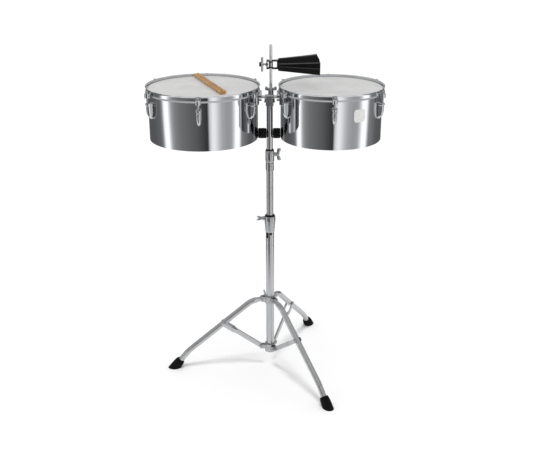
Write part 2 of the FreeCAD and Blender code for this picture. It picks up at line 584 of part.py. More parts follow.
def drum(name, centre, radius, side):
    """One single-headed drum with all its hardware."""
    inner = radius - SHELL_WALL
    surface = centre + radius
    step = 360 / LUG_COUNT
    azimuths = [-90 + step * k for k in range(LUG_COUNT)]
    screws = []
    for screw in lug_screws_at(surface):
        screws += around(screw, centre, azimuths)
    shell = pipe(radius, inner, (centre, 0, SHELL_BOTTOM), (centre, 0, HEAD_TOP - FILM))
    lip = pipe(inner + 0.5, inner - 4, (centre, 0, SHELL_BOTTOM), (centre, 0, SHELL_BOTTOM + 1.4))
    shell = joined([shell, lip])
    for screw in screws:
        shell = shell.cut(screw)
    save(name + "_shell", shell)
    edge = radius + RUN
    outer = radius + 0.5
    profile = [(0, HEAD_TOP - FILM), (edge, HEAD_TOP - FILM), (edge, COLLAR_BOTTOM)]
    profile += [(outer, COLLAR_BOTTOM), (outer, HEAD_TOP), (0, HEAD_TOP)]
    save(name + "_head", lathe(profile, centre))
    save(name + "_flesh_hoop", pipe(radius + 4.0, radius + 0.85, (centre, 0, 1019.5), (centre, 0, 1026)))
    save(name + "_counterhoop", counterhoop(centre, radius))
    save(name + "_claws", group(around(claw(centre, radius), centre, azimuths)))
    save(name + "_tension_rods", group(around(tension_rod(centre, radius), centre, azimuths)))
    save(name + "_lugs", group(around(lug(centre, radius), centre, azimuths)))
    save(name + "_lug_screws", group(screws))
    axis = surface + ROD_STAND_OFF
    nut = upright(4.9, LUG_TOP - 26, LUG_TOP - 16, axis).cut(
        upright(TENSION_ROD_R + RUN, LUG_TOP - 27, LUG_TOP - 15, axis))
    save(name + "_swivel_nuts", group(around(nut, centre, azimuths)))
    save(name + "_bracket", bracket(centre, radius, side))


def badge():
    """Blank badge on the smaller drum, curved to its shell."""
    centre, radius, side = DRUMS["right"]
    low, high = BADGE_SPAN
    ring = pipe(radius + 1.6, radius, (centre, 0, low - 2), (centre, 0, high + 2))
    outline = block((centre + radius - 12, -20, low), (centre + radius + 5, 20, high))
    along = [e for e in outline.Edges if abs(e.tangentAt(e.FirstParameter).x) > 0.9]
    piece = ring.common(outline.makeFillet(9, along))
    save("badge", turned(piece, -61, (centre, 0, 0)))


def sticks():
    """Two straight sticks side by side on the larger head."""
    near = Vector(STICK_BUTT[0], STICK_BUTT[1], HEAD_TOP + GAP + STICK_R)
    far = Vector(STICK_TIP[0], STICK_TIP[1], near.z)
    run = (far - near).normalize()
    aside = Vector(-run.y, run.x, 0)
    for name, side, shift in (("stick_left", 1, 0), ("stick_right", -1, 5)):
        start = near + aside * (side * (STICK_R + GAP)) + run * shift
        stick = rod(STICK_R, start, start + run * (far - near).Length)
        ends = [e for e in stick.Edges if e.Closed and e.Curve.TypeId == "Part::GeomCircle"]
        save(name, stick.makeFillet(2.0, ends))


os.makedirs("parts", exist_ok=True)
save("lower_tube", pipe(LOWER_R, LOWER_R - TUBE_WALL, (0, 0, LOWER_SPAN[0]), (0, 0, LOWER_SPAN[1])))
save("mid_tube", pipe(MID_R, MID_R - TUBE_WALL + 0.2, (0, 0, MID_SPAN[0]), (0, 0, MID_SPAN[1])))
bottom_spider()
leg_collar()
for leg_name, leg_azimuth in LEG_AZIMUTHS.items():
    save(leg_name + "_leg", leg(leg_azimuth))
    save(leg_name + "_foot", foot(leg_azimuth))
    save(leg_name + "_brace", brace(leg_azimuth))
lower_clamp()
upper_clamp()
memory_lock()
post()
post_head()
cowbell()
bell_mount()
for drum_name, (drum_centre, drum_radius, drum_side) in DRUMS.items():
    drum(drum_name, drum_centre, drum_radius, drum_side)
badge()
sticks()
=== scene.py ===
"""Timbales on a folding stand with a cowbell and sticks: the looks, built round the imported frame.
Metres, +Z up."""
import json
import math

import bmesh
import bpy
import numpy as np
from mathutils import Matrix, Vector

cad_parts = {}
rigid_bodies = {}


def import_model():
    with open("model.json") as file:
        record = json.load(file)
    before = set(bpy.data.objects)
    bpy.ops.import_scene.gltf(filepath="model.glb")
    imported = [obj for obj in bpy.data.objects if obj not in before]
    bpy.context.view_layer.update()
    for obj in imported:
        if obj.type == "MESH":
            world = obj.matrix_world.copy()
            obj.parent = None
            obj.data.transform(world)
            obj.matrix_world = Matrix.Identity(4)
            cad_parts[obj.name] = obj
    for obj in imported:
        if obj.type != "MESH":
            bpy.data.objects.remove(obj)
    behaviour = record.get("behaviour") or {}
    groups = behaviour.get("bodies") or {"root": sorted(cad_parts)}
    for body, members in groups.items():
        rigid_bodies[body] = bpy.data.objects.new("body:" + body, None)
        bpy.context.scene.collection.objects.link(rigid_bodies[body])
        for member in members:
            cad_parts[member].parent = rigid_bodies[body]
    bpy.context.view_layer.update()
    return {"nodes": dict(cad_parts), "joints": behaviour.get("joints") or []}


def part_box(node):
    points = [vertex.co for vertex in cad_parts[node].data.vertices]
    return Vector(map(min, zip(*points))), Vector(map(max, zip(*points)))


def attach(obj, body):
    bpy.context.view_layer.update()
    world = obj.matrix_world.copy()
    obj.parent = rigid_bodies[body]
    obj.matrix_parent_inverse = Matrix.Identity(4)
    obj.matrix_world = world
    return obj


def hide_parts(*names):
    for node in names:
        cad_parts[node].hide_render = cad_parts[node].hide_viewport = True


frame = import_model()

MM = 0.001
TURN = 2 * math.pi
DRUM_SIDES = {"left": 1, "right": -1}  # direction of the stand along X, seen from each drum
LEG_AZIMUTHS = {"left": 184.0, "front": 304.0, "back": 64.0}


# ---- frame helpers ----
def corners(node):
    """Lowest and highest corner of a CAD node as arrays."""
    low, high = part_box(node)
    return np.array(low), np.array(high)


def joint(name):
    """The record's entry for one joint."""
    return next(j for j in frame["joints"] if j["name"] == name)


def drum_size(name):
    """Centre on the floor plane, shell radius, and bottom and top of one shell."""
    low, high = corners(name + "_shell")
    centre = (low + high) / 2
    return centre[0], (high[0] - low[0]) / 2, low[2], high[2]


# ---- surfaces ----
def ease(value):
    """Smooth step from 0 to 1: 3t^2 - 2t^3 with t kept between 0 and 1."""
    t = np.clip(value, 0, 1)
    return t * t * (3 - 2 * t)


def fillet(points, radius, steps=4, closed=True):
    """Outline with its corners rounded: each corner becomes a quadratic curve that starts and ends one
    radius (or 45% of the edge) away, worked out for all corners at once."""
    points = np.asarray(points, float)
    before = np.roll(points, 1, axis=0)
    after = np.roll(points, -1, axis=0)
    to_before = before - points
    to_after = after - points
    length_before = np.linalg.norm(to_before, axis=1, keepdims=True)
    length_after = np.linalg.norm(to_after, axis=1, keepdims=True)
    start = points + to_before / length_before * np.minimum(radius, 0.45 * length_before)
    end = points + to_after / length_after * np.minimum(radius, 0.45 * length_after)
    t = np.linspace(0, 1, steps + 1)[None, :, None]
    curve = (1 - t) ** 2 * start[:, None] + 2 * t * (1 - t) * points[:, None] + t ** 2 * end[:, None]
    if closed:
        return curve.reshape(-1, points.shape[1])
    return np.concatenate([points[:1], curve[1:-1].reshape(-1, points.shape[1]), points[-1:]])


def frame_from(along, across):
    """Rows are unit directions: across made square to along, their cross product, and along."""
    along = np.asarray(along, float) / np.linalg.norm(along)
    across = np.asarray(across, float) - np.dot(across, along) * along
    across /= np.linalg.norm(across)
    return np.array([across, np.cross(along, across), along])


def lathe(profile, origin=(0, 0, 0), along=(0, 0, 1), across=(1, 0, 0), segments=96):
    """Rings of a turned surface: each (radius, height) point of the profile swept round the axis."""
    profile = np.asarray(profile, float)
    angle = np.linspace(0, TURN, segments, endpoint=False)
    local = np.empty((len(profile), segments, 3))
    local[..., 0] = profile[:, :1] * np.cos(angle)
    local[..., 1] = profile[:, :1] * np.sin(angle)
    local[..., 2] = profile[:, 1:2]
    return np.asarray(origin) + local @ frame_from(along, across)


def around(rings, centre_x, count, first=-90.0):
    """Copies of a grid of points turned about an upright axis on the XZ plane, evenly spaced from a first
    azimuth."""
    copies = []
    for k in range(count):
        a = math.radians(first + 360.0 / count * k)
        turn = np.array([[math.cos(a), math.sin(a), 0], [-math.sin(a), math.cos(a), 0], [0, 0, 1]])
        copies.append(rings @ turn + np.array([centre_x, 0, 0]))
    return copies


def surface(name, grids, wrap=False, sharp=35.0, uv=False):
    """Mesh object from grids of points: quads between neighbouring rows and columns. Columns always close in
    a loop, rows too where wrap is set. Poles are merged, normals point out, edges over the angle are sharp."""
    vertices, faces, uvs, offset = [], [], [], 0
    for grid in grids:
        rows, columns = grid.shape[:2]
        r, c = np.meshgrid(np.arange(rows if wrap else rows - 1), np.arange(columns), indexing="ij")
        r2, c2 = (r + 1) % rows, (c + 1) % columns
        quads = np.stack([r * columns + c, r * columns + c2, r2 * columns + c2, r2 * columns + c], axis=-1)
        vertices.append(grid.reshape(-1, 3))
        faces.append(quads.reshape(-1, 4) + offset)
        v, u = np.stack([r, r, r + 1, r + 1], -1) / rows, np.stack([c, c + 1, c + 1, c], -1) / columns
        uvs.append(np.stack([u, v], -1).reshape(-1, 2))
        offset += rows * columns
    mesh = bpy.data.meshes.new(name)
    mesh.from_pydata(np.concatenate(vertices).tolist(), [], np.concatenate(faces).tolist())
    if uv:
        layer = mesh.uv_layers.new(name="UVMap")
        layer.data.foreach_set("uv", np.concatenate(uvs).astype(np.float32).ravel())
    return settled(name, mesh, sharp)


def settled(name, mesh, sharp):
    """Object from a mesh after its doubles are merged, stray faces dropped and normals turned outwards."""
    work = bmesh.new()
    work.from_mesh(mesh)
    bmesh.ops.remove_doubles(work, verts=work.verts, dist=1e-6)
    bmesh.ops.dissolve_degenerate(work, edges=work.edges, dist=1e-7)
    bmesh.ops.recalc_face_normals(work, faces=work.faces)
    work.to_mesh(mesh)
    work.free()
    mesh.shade_smooth()
    mesh.set_sharp_from_angle(angle=math.radians(sharp))
    piece = bpy.data.objects.new(name, mesh)
    bpy.context.scene.collection.objects.link(piece)
    return piece


def softened(node, bevel, sharp=32.0):
    """Copy of a CAD casting, merged and cleaned, whose edges get a small rounded bevel."""
    mesh = frame["nodes"][node].data.copy()
    mesh.name = node + "_cast"
    work = bmesh.new()
    work.from_mesh(mesh)
    bmesh.ops.remove_doubles(work, verts=work.verts, dist=2e-6)
    bmesh.ops.dissolve_limit(work, angle_limit=math.radians(1.0), verts=work.verts, edges=work.edges)
    work.to_mesh(mesh)
    work.free()
    for name in ("custom_normal", "sharp_edge"):
        if name in mesh.attributes:
            mesh.attributes.remove(mesh.attributes[name])
    mesh.shade_smooth()
    mesh.set_sharp_from_angle(angle=math.radians(sharp))
    piece = bpy.data.objects.new(node + "_cast", mesh)
    bpy.context.scene.collection.objects.link(piece)
    round_off = piece.modifiers.new("soft edges", "BEVEL")
    round_off.width = bevel
    round_off.segments = 3
    round_off.limit_method = "ANGLE"
    round_off.angle_limit = math.radians(sharp)
    round_off.harden_normals = True
    return piece


def place(piece, body, slot, material, *nodes):
    """Gives a piece its material, the CAD nodes it stands for and the body it rides on; the slot is not used.
    """
    piece.data.materials.clear()
    piece.data.materials.append(material)
    if nodes:
        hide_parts(*nodes)
    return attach(piece, body)


# ---- materials ----
def linear(code, alpha=1.0):
    """Linear colour from an sRGB hex value."""
    parts = [int(code[i:i + 2], 16) / 255 for i in (1, 3, 5)]
    return [p / 12.92 if p <= 0.04045 else ((p + 0.055) / 1.055) ** 2.4 for p in parts] + [alpha]


def add(tree, kind, links=None, values=None, **settings):
    """Adds one node: its own settings, its sockets' constants, and links into its sockets."""
    made = tree.nodes.new("ShaderNode" + kind)
    for key, value in settings.items():
        setattr(made, key, value)
    for key, value in (values or {}).items():
        made.inputs[key].default_value = value
    for key, socket in (links or {}).items():
        tree.links.new(socket, made.inputs[key])
    return made


def ramp(tree, source, stops):
    """Colour ramp from (position, hex) stops."""
    made = add(tree, "ValToRGB", {"Fac": source})
    points = made.color_ramp.elements
    while len(points) < len(stops):
        points.new(0.5)
    for point, (position, code) in zip(points, stops):
        point.position = position
        point.color = linear(code)
    return made.outputs["Color"]


def scale_range(tree, source, low, high):
    """Maps a 0 to 1 value to a range."""
    return add(tree, "MapRange", {"Value": source}, {"To Min": low, "To Max": high}).outputs["Result"]


def new_material(name, code, roughness, **values):
    """Material with a Principled shader; returns it, its tree, the shader and the Object coordinates."""
    material = bpy.data.materials.new(name)
    material.use_nodes = True
    tree = material.node_tree
    shader = tree.nodes["Principled BSDF"]
    shader.inputs["Base Color"].default_value = linear(code)
    shader.inputs["Roughness"].default_value = roughness
    for key, value in values.items():
        shader.inputs[key.replace("_", " ")].default_value = value
    return material, tree, shader, add(tree, "TexCoord").outputs["Object"]


def bump(tree, shader, height, strength, distance):
    """Bump from a height value, in metres, into the shader's normal."""
    made = add(tree, "Bump", {"Height": height}, {"Strength": strength, "Distance": distance})
    tree.links.new(made.outputs["Normal"], shader.inputs["Normal"])


def polished_chrome():
    """Chromium plate on buffed steel: a mirror, with faint smears of handling and a barely wavy sheet."""
    material, tree, shader, place_at = new_material("polished_chrome", "#C9CBCE", 0.05, Metallic=1.0)
    smear = add(tree, "TexNoise", {"Vector": place_at}, {"Scale": 18.0, "Detail": 5.0, "Distortion": 0.6})
    tree.links.new(scale_range(tree, smear.outputs["Fac"], 0.03, 0.10), shader.inputs["Roughness"])
    sheet_wave = add(tree, "TexNoise", {"Vector": place_at}, {"Scale": 9.0, "Detail": 1.0})
    bump(tree, shader, sheet_wave.outputs["Fac"], 0.25, 0.0006)
    return material


def tube_chrome(name, code, low, high):
    """Chrome plate on drawn tube: hair lines along it, and a roughness that wanders between two values."""
    material, tree, shader, place_at = new_material(name, code, low, Metallic=1.0)
    stretch = add(tree, "Mapping", {"Vector": place_at}, {"Scale": (1.0, 1.0, 0.02)})
    lines = add(tree, "TexNoise", {"Vector": stretch.outputs["Vector"]}, {"Scale": 900.0, "Detail": 2.0})
    wear = add(tree, "TexNoise", {"Vector": place_at}, {"Scale": 14.0, "Detail": 4.0})
    mixed = add(tree, "Math", {0: lines.outputs["Fac"], 1: wear.outputs["Fac"]}, operation="MULTIPLY")
    tree.links.new(scale_range(tree, mixed.outputs["Value"], low, high), shader.inputs["Roughness"])
    bump(tree, shader, lines.outputs["Fac"], 0.15, 0.00005)
    return material


def cast_chrome(name, code, low, high):
    """Chrome plate on die-cast zinc: soft corners and a faint orange peel about 1 mm across."""
    material, tree, shader, place_at = new_material(name, code, low, Metallic=1.0)
    peel = add(tree, "TexNoise", {"Vector": place_at}, {"Scale": 420.0, "Detail": 2.0})
    cloud = add(tree, "TexNoise", {"Vector": place_at}, {"Scale": 35.0, "Detail": 4.0})
    tree.links.new(scale_range(tree, cloud.outputs["Fac"], low, high), shader.inputs["Roughness"])
    bump(tree, shader, peel.outputs["Fac"], 0.22, 0.00012)
    return material


def zinc_steel():
    """Bright zinc on steel screws and pins: grey, slightly mottled."""
    material, tree, shader, place_at = new_material("zinc_steel", "#A9AAAB", 0.3, Metallic=1.0)
    mottle = add(tree, "TexNoise", {"Vector": place_at}, {"Scale": 260.0, "Detail": 4.0})
    tree.links.new(ramp(tree, mottle.outputs["Fac"], [(0.3, "#8F9092"), (0.7, "#B8B9BA")]),
                   shader.inputs["Base Color"])
    tree.links.new(scale_range(tree, mottle.outputs["Fac"], 0.22, 0.42), shader.inputs["Roughness"])
    return material


def hoop_aluminium():
    """Extruded aluminium channel, mill finish: lines run round it."""
    material, tree, shader, place_at = new_material("hoop_aluminium", "#B9BBBD", 0.35, Metallic=1.0)
    stretch = add(tree, "Mapping", {"Vector": place_at}, {"Scale": (0.05, 0.05, 1.0)})
    lines = add(tree, "TexNoise", {"Vector": stretch.outputs["Vector"]}, {"Scale": 1500.0, "Detail": 2.0})
    tree.links.new(scale_range(tree, lines.outputs["Fac"], 0.28, 0.5), shader.inputs["Roughness"])
    return material


def coated_film():
    """Polyester film with a sprayed white coating: dull, faintly grainy, greyer in clouds."""
    material, tree, shader, place_at = new_material("coated_film", "#C4C4C4", 0.62, IOR=1.5)
    shader.inputs["Subsurface Weight"].default_value = 0.08
    shader.inputs["Subsurface Radius"].default_value = (0.004, 0.004, 0.004)
    # the real spray grain is 0.3 mm; it is drawn about 1.2 mm so that it shows
    grain = add(tree, "TexNoise", {"Vector": place_at}, {"Scale": 800.0, "Detail": 3.0})
    cloud = add(tree, "TexNoise", {"Vector": place_at}, {"Scale": 16.0, "Detail": 5.0, "Roughness": 0.6})
    tree.links.new(ramp(tree, cloud.outputs["Fac"], [(0.32, "#C0C0C0"), (0.62, "#CBCBCA")]),
                   shader.inputs["Base Color"])
    bump(tree, shader, grain.outputs["Fac"], 0.35, 0.0002)
    return material


def moulded_rubber():
    """Moulded black rubber: matte, fine grain, dusty in the hollows."""
    material, tree, shader, place_at = new_material("moulded_rubber", "#0A0A0A", 0.7, IOR=1.22)
    grain = add(tree, "TexNoise", {"Vector": place_at}, {"Scale": 600.0, "Detail": 4.0})
    dust = add(tree, "TexNoise", {"Vector": place_at}, {"Scale": 45.0, "Detail": 6.0})
    tree.links.new(ramp(tree, dust.outputs["Fac"], [(0.35, "#060606"), (0.75, "#121213")]),
                   shader.inputs["Base Color"])
    tree.links.new(scale_range(tree, dust.outputs["Fac"], 0.5, 0.8), shader.inputs["Roughness"])
    bump(tree, shader, grain.outputs["Fac"], 0.4, 0.00015)
    return material


def black_nylon():
    """Moulded black nylon: a low even sheen with flow marks."""
    material, tree, shader, place_at = new_material("black_nylon", "#0B0B0C", 0.45, IOR=1.3)
    flow = add(tree, "TexNoise", {"Vector": place_at}, {"Scale": 120.0, "Detail": 3.0, "Distortion": 1.0})
    tree.links.new(scale_range(tree, flow.outputs["Fac"], 0.32, 0.55), shader.inputs["Roughness"])
    bump(tree, shader, flow.outputs["Fac"], 0.15, 0.0001)
    return material


def black_enamel(name, crease_highlights):
    """Baked black enamel on folded sheet steel: soft gloss, orange peel, scuffs. When the flag is set, painted
    highlights run along the four side folds: grey lines, brightest on the upper fold of the -Y side."""
    material, tree, shader, place_at = new_material(name, "#070708", 0.32, IOR=1.26)
    peel = add(tree, "TexNoise", {"Vector": place_at}, {"Scale": 500.0, "Detail": 2.0})
    scuff = add(tree, "TexNoise", {"Vector": place_at}, {"Scale": 60.0, "Detail": 8.0, "Roughness": 0.7})
    paint = ramp(tree, scuff.outputs["Fac"], [(0.5, "#050506"), (0.8, "#141415")])
    # mottled grey of the painted highlights along the bell's folds
    highlight_grey = ramp(tree, scuff.outputs["Fac"], [(0.3, "#6E6E70"), (0.8, "#9A9A9C")])
    tree.links.new(paint, shader.inputs["Base Color"])
    tree.links.new(scale_range(tree, scuff.outputs["Fac"], 0.25, 0.45), shader.inputs["Roughness"])
    bump(tree, shader, peel.outputs["Fac"], 0.2, 0.0001)
    if crease_highlights:
        round_bell = add(tree, "SeparateXYZ", {"Vector": add(tree, "TexCoord").outputs["UV"]}).outputs["X"]
        # painted highlights: narrow grey lines centred on the four side folds, placed by position round the
        # section, each fold with its own brightness
        stops = [(0.0, "#000000")]
        for corner, code in ((1, "#6C6C6C"), (2, "#8C8C8C"), (5, "#8C8C8C"), (6, "#B4B4B4")):
            middle = (7 * corner + 3) / 56
            stops += [(middle - 0.024, "#000000"), (middle, code), (middle + 0.024, "#000000")]
        crease_highlight_mix = add(tree, "Mix", {0: ramp(tree, round_bell, stops), 6: paint, 7: highlight_grey}, data_type="RGBA")
        tree.links.new(crease_highlight_mix.outputs[2], shader.inputs["Base Color"])
    return material


def hickory():
    """Lacquered hickory dowel: long brown grain on gold, pores along it."""
    material, tree, shader, place_at = new_material("hickory", "#B98C4E", 0.38, IOR=1.5)
    along = add(tree, "Mapping", {"Vector": place_at},
                {"Rotation": (0.0, 0.0, -STICK_HEADING), "Scale": (0.06, 1.0, 1.0)})
    fibre = add(tree, "TexNoise", {"Vector": along.outputs["Vector"]},
                {"Scale": 420.0, "Detail": 6.0, "Roughness": 0.62})
    bands = add(tree, "TexNoise", {"Vector": along.outputs["Vector"]}, {"Scale": 110.0, "Detail": 2.0})
    mixed = add(tree, "Math", {0: fibre.outputs["Fac"], 1: bands.outputs["Fac"]}, operation="MULTIPLY")
    golds = [(0.12, "#7A5225"), (0.24, "#B0824A"), (0.42, "#CFA468")]
    tree.links.new(ramp(tree, mixed.outputs["Value"], golds), shader.inputs["Base Color"])
    tree.links.new(scale_range(tree, fibre.outputs["Fac"], 0.3, 0.5), shader.inputs["Roughness"])
    bump(tree, shader, fibre.outputs["Fac"], 0.25, 0.0001)
    return material


def badge_enamel():
    """Pale enamelled badge: glossy, blank, with faint mottling."""
    material, tree, shader, place_at = new_material("badge_enamel", "#DDDDD9", 0.22, IOR=1.5)
    mottle = add(tree, "TexNoise", {"Vector": place_at}, {"Scale": 180.0, "Detail": 3.0})
    tree.links.new(ramp(tree, mottle.outputs["Fac"], [(0.3, "#E2E2DF"), (0.7, "#F2F2F0")]),
                   shader.inputs["Base Color"])
    return material


# ---- sizes of the pieces, in millimetres ----
SHELL_WALL = 1.2
SHELL_LIP = (4.0, 1.4)  # depth and thickness of the rolled-in lower lip
ROD_STAND_OFF = 15.5
LUG_DEPTH = 21.0
LUG_HALF = 8.5
LUG_COUNT = 6
BELL_WALL = 1.6
BELL_NARROW = (19.5, 15.0, 4.0)  # closed end: half height, half depth, half height of the middle facet
BELL_MOUTH = (32.5, 26.0, 10.0)  # the same at the mouth
MOUTH_SLANT = 0.52  # run over rise of the upper part of the mouth
STICK_R = 6.0
STICK_BUTT = np.array([-142.0, -118.0])
STICK_TIP = np.array([-249.0, 165.0])
STICK_HEADING = math.atan2(*(STICK_TIP - STICK_BUTT)[::-1])

CHROME = polished_chrome()
TUBE = tube_chrome("tube_chrome", "#BBBCBE", 0.22, 0.5)
POST = tube_chrome("post_chrome", "#B8B9BB", 0.06, 0.2)
ROD = tube_chrome("rod_chrome", "#ECEDEE", 0.15, 0.4)
CAST = cast_chrome("cast_chrome", "#C6C8CA", 0.07, 0.20)
STAND_CAST = cast_chrome("stand_cast_chrome", "#B0B1B3", 0.2, 0.36)
ZINC = zinc_steel()
ALUMINIUM = hoop_aluminium()
FILM = coated_film()
RUBBER = moulded_rubber()
NYLON = black_nylon()
ENAMEL = black_enamel("black_enamel", crease_highlights=False)
BELL_ENAMEL = black_enamel("bell_enamel", crease_highlights=True)
WOOD = hickory()
BADGE = badge_enamel()


# ---- drums ----
def shell(name):
    """Steel shell: a closed profile of wall, bearing edge and rolled-in lower lip, turned about its axis."""
    centre, radius, low, high = drum_size(name)
    inner = radius - SHELL_WALL * MM
    lip = inner - SHELL_LIP[0] * MM
    lip_top = low + SHELL_LIP[1] * MM
    profile = [(radius, high), (radius, low), (lip, low), (lip, lip_top), (inner, lip_top), (inner, high)]
    rings = lathe(fillet(profile, 0.55 * MM), (centre, 0, 0), segments=288)
    sheet = surface(name + "_shell_sheet", [rings], wrap=True)
    place(sheet, name + "_drum", "shell_chrome", CHROME, name + "_shell")


def head(name):
    """Film: flat top, a tight radius over the bearing edge and a straight collar, as one thin closed skin."""
    centre, radius, _, high = drum_size(name)
    low, top = corners(name + "_head")
    edge = radius + 0.5 * MM
    skin = 0.4 * MM
    profile = [(0, top[2]), (edge * 0.5, top[2]), (edge, top[2]), (edge, low[2]), (edge - skin, low[2]),
               (edge - skin, top[2] - skin), (edge * 0.5, top[2] - skin), (0, top[2] - skin)]
    rings = lathe(fillet(profile, 1.6 * MM, 5, closed=False), (centre, 0, 0), segments=192)
    place(surface(name + "_head_film", [rings]), name + "_drum", "head_film", FILM, name + "_head")


def hoop(name):
    """Counterhoop: flared top edge, upright wall, inner flange and flared lower lip, one closed profile
    turned about the drum's axis."""
    centre, radius, _, _ = drum_size(name)
    low, high = corners(name + "_counterhoop")
    top = high[2] / MM
    base = low[2] / MM
    section = [(7.0, top), (8.1, top - 0.6), (5.6, top - 4.2), (5.6, base + 4.7), (8.1, base + 1.0),
               (7.2, base), (4.2, base + 4.2), (4.2, top - 12.0), (1.0, top - 12.0), (1.0, top - 10.6),
               (4.2, top - 10.6), (4.2, top - 3.8)]
    profile = [(radius + r * MM, z * MM) for r, z in section]
    rings = lathe(fillet(profile, 1.5 * MM, 5), (centre, 0, 0), segments=288)
    steel = surface(name + "_hoop_steel", [rings], wrap=True, sharp=50)
    place(steel, name + "_hoop", "shell_chrome", CHROME, name + "_counterhoop")


def lug_grid(radius, top, length):
    """One lug at azimuth 0. Each ring is a D: a superellipse outside, flat on the shell. Its width and
    depth shrink as powers of the way down. A wider cap covers the top 12%, with a groove under it and
    another down the face. The top dips to a well for the rod."""
    rows, front, back = 74, 56, 14
    t = np.linspace(0, 1, rows)[:, None]
    cap = 1 - ease((t - 0.115) / 0.03)
    width = LUG_HALF * np.sqrt(np.maximum(1 - 0.93 * t ** 5, 0)) - 0.5 + 0.9 * cap
    depth = LUG_DEPTH * (1 - 0.68 * t ** 4.5) - 0.6 + 1.3 * cap
    swing = np.linspace(0, math.pi, front)[None, :]
    x_front = depth * np.sin(swing) ** 0.62
    y_front = -width * np.sign(np.cos(swing)) * np.abs(np.cos(swing)) ** 0.72
    groove = ease((t - 0.22) / 0.05) * (1 - ease((t - 0.66) / 0.12))
    x_front = x_front - 2.2 * groove * (1 - ease((np.abs(y_front) - 1.0) / 1.3)) * (x_front > depth * 0.6)
    x_front = x_front - 1.6 * np.exp(-((t - 0.165) / 0.018) ** 2) * (x_front > depth * 0.3)
    side = np.linspace(1, -1, back + 2)[None, 1:-1]
    x = np.concatenate([x_front, np.full((rows, back), -0.6)], axis=1)
    y = np.concatenate([y_front, width * side], axis=1)
    z = np.repeat(top - length * t, front + back, axis=1)
    hub = np.arctan2(y[0], x[0] - ROD_STAND_OFF)
    rings = np.stack([radius + x, y, z], -1)
    lids = []
    for share, drop, hole in ((1.0, 6.0, 3.3), (1.0, 0.9, 3.5), (0.45, 0.9, 3.5), (0.12, 0.0, 3.5)):
        hx = ROD_STAND_OFF + hole * np.cos(hub)
        hy = hole * np.sin(hub)
        lids.append(np.stack([radius + share * hx + (1 - share) * x[0], share * hy + (1 - share) * y[0],
                              np.full_like(hx, top - drop)], -1))
    rings[0, :, 2] = top - 0.8
    tip = np.stack([np.full(front + back, radius + 1.0), np.zeros(front + back),
                    np.full(front + back, top - length)], -1)
    well = np.stack([np.full(front + back, radius + ROD_STAND_OFF), np.zeros(front + back),
                     np.full(front + back, top - 6.0)], -1)
    return np.concatenate([well[None], np.array(lids), rings, tip[None]]) * MM


def lugs(name):
    """Six lugs round the shell."""
    centre, radius, _, _ = drum_size(name)
    low, high = corners(name + "_lugs")
    grid = lug_grid(radius / MM, high[2] / MM, (high[2] - low[2]) / MM)
    castings_round = surface(name + "_lug_castings", around(grid, centre, LUG_COUNT), sharp=40)
    place(castings_round, name + "_drum", "cast_chrome", CAST, name + "_lugs")


def tension_rods(name):
    """Six rods: turned shank and washer, with a square key head whose ring is a rounded square."""
    centre, radius, _, _ = drum_size(name)
    low, high = corners(name + "_tension_rods")
    axis = radius + ROD_STAND_OFF * MM
    claw_top = high[2] - 8 * MM
    shank = fillet([(0, low[2]), (2.6 * MM, low[2]), (3.0 * MM, low[2] + MM), (3.0 * MM, claw_top),
                    (6.2 * MM, claw_top), (6.2 * MM, claw_top + 1.2 * MM), (3.4 * MM, claw_top + 1.4 * MM),
                    (3.4 * MM, claw_top + 3 * MM), (0, claw_top + 3 * MM)], 0.4 * MM, 3, closed=False)
    rod = lathe(shank, (axis, 0, 0), segments=32)
    angle = np.linspace(0, TURN, 32, endpoint=False)
    square = 3.4 * MM / np.maximum(np.abs(np.cos(angle)) ** 8 + np.abs(np.sin(angle)) ** 8, 1e-9) ** (1 / 8)
    heights = np.array([1.0, 1.0, 1.4, 7.5, 8.0, 8.0])[:, None] * MM + claw_top
    shares = np.array([0.0, 0.9, 1.0, 1.0, 0.88, 0.0])[:, None]
    head_grid = np.stack([axis + shares * square * np.cos(angle), shares * square * np.sin(angle),
                          np.repeat(heights, 32, axis=1)], -1)
    grids = around(rod, centre, LUG_COUNT) + around(head_grid, centre, LUG_COUNT)
    rods = surface(name + "_key_rods", grids, sharp=40)
    place(rods, name + "_hoop", "stand_chrome", TUBE, name + "_tension_rods")


def lug_screws(name):
    """Twelve domed screw heads inside the shell, each with a cross recess in it, and their shanks."""
    centre, radius, _, _ = drum_size(name)
    low, high = corners(name + "_lug_screws")
    inner = radius - SHELL_WALL * MM
    r = np.linspace(0, 4.0, 9)[:, None] * MM
    angle = np.linspace(0, TURN, 32, endpoint=False)[None, :]
    y, z = r * np.cos(angle), r * np.sin(angle)
    arm = np.minimum(np.abs(y), np.abs(z)) < 0.5 * MM
    dome = (2.3 - 1.3 * (r / (4 * MM)) ** 2) * MM - np.where(arm & (r < 2.6 * MM), 0.9 * MM, 0)
    cap = np.stack([inner - dome, y, z], -1)
    foot = np.stack([np.full((1, 32), inner - 0.1 * MM), y[-1:], z[-1:]], -1)
    stem_r = np.array([2.0, 2.0, 0.0])[:, None] * MM
    stem_x = np.array([-0.1, 5.5, 5.5])[:, None] * MM + inner
    stem = np.stack([np.repeat(stem_x, 32, 1), stem_r * np.cos(angle), stem_r * np.sin(angle)], -1)
    grids = []
    for height in (high[2] - 4 * MM, low[2] + 4 * MM):
        grids += around(np.concatenate([cap, foot, stem]) + np.array([0, 0, height]), centre, LUG_COUNT)
    screws = surface(name + "_lug_screw_heads", grids, sharp=40)
    place(screws, name + "_drum", "zinc_steel", ZINC, name + "_lug_screws")


def drum_castings(name):
    """Claws and bracket: the CAD castings with rounded edges."""
    place(softened(name + "_claws", 1.3 * MM), name + "_hoop", "cast_chrome", CAST, name + "_claws")
    place(softened(name + "_bracket", 1.2 * MM), name + "_drum", "cast_chrome", CAST, name + "_bracket")


# ---- stand ----
# centre line of a leg, top to bottom: distance from the stand's axis, height
LEG_PATH = np.array([(27.0, 264.0), (67.0, 255.0), (294.5, 64.0), (331.5, 18.0)])
LEG_R = 9.8
EYE_HALF = (6.0, 6.8)  # half width and half height of the flat eye
FOOT_LENGTH = 40.0


